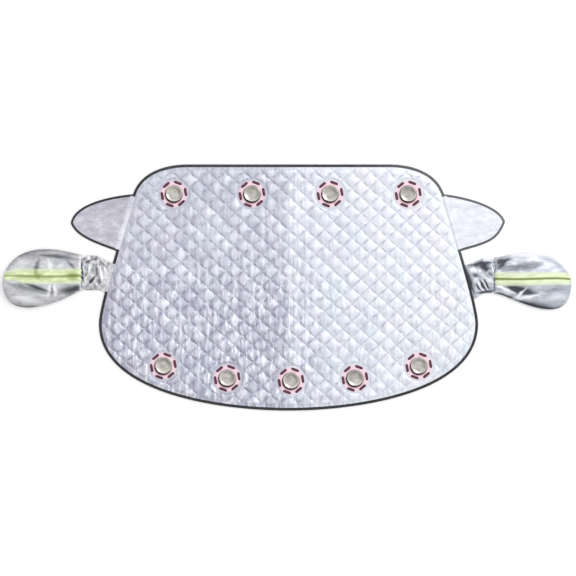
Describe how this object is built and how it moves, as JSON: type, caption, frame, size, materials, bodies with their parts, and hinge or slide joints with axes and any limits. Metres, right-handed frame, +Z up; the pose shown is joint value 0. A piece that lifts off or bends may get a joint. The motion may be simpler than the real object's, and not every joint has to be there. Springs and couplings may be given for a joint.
{
  "type": "windshield frost cover",
  "caption": "Quilted silver windshield frost cover laid flat, with bound edge, door flaps, magnet discs and bag covers for the side mirrors.",
  "frame": {"origin": "middle of the quilted panel's flat underside, on the surface that the cover lies on", "axes": "+X along the windshield, +Y towards the roof edge, +Z up out of the silver face"},
  "size_m": [2.2521, 0.975, 0.0398],
  "materials": {
    "quilted_film": "metallised film, diamond quilted, crinkled",
    "smooth_film": "metallised film, smooth",
    "binding_tape": "black woven edge tape",
    "bag_cloth": "silver coated cloth, soft sheen",
    "elastic": "white ribbed elastic",
    "reflective_tape": "yellow-green reflective tape with an olive centre line",
    "disc_metal": "nickel plated, dished",
    "patch_cloth": "pale pink sewn patch with dark red bar stitches"
  },
  "bodies": {
    "root": {"quilted_panel": "quilted_film", "top_binding": "binding_tape", "bottom_binding": "binding_tape", "left_flap_seam": "smooth_film", "right_flap_seam": "smooth_film", "left_door_flap": "smooth_film", "right_door_flap": "smooth_film", "left_flap_binding": "binding_tape", "right_flap_binding": "binding_tape", "left_mirror_strap": "bag_cloth", "right_mirror_strap": "bag_cloth", "left_mirror_cover_upper": "bag_cloth", "left_mirror_cover_lower": "bag_cloth", "right_mirror_cover_upper": "bag_cloth", "right_mirror_cover_lower": "bag_cloth", "left_neck_elastic": "elastic", "right_neck_elastic": "elastic", "left_reflective_tape": "reflective_tape", "right_reflective_tape": "reflective_tape", "magnet_top_1": "disc_metal", "magnet_top_2": "disc_metal", "magnet_top_3": "disc_metal", "magnet_top_4": "disc_metal", "magnet_bottom_1": "disc_metal", "magnet_bottom_2": "disc_metal", "magnet_bottom_3": "disc_metal", "magnet_bottom_4": "disc_metal", "magnet_bottom_5": "disc_metal", "magnet_patch_top_1": "patch_cloth", "magnet_patch_top_2": "patch_cloth", "magnet_patch_top_3": "patch_cloth", "magnet_patch_top_4": "patch_cloth", "magnet_patch_bottom_1": "patch_cloth", "magnet_patch_bottom_2": "patch_cloth", "magnet_patch_bottom_3": "patch_cloth", "magnet_patch_bottom_4": "patch_cloth", "magnet_patch_bottom_5": "patch_cloth"}
  },
  "joints": []
}
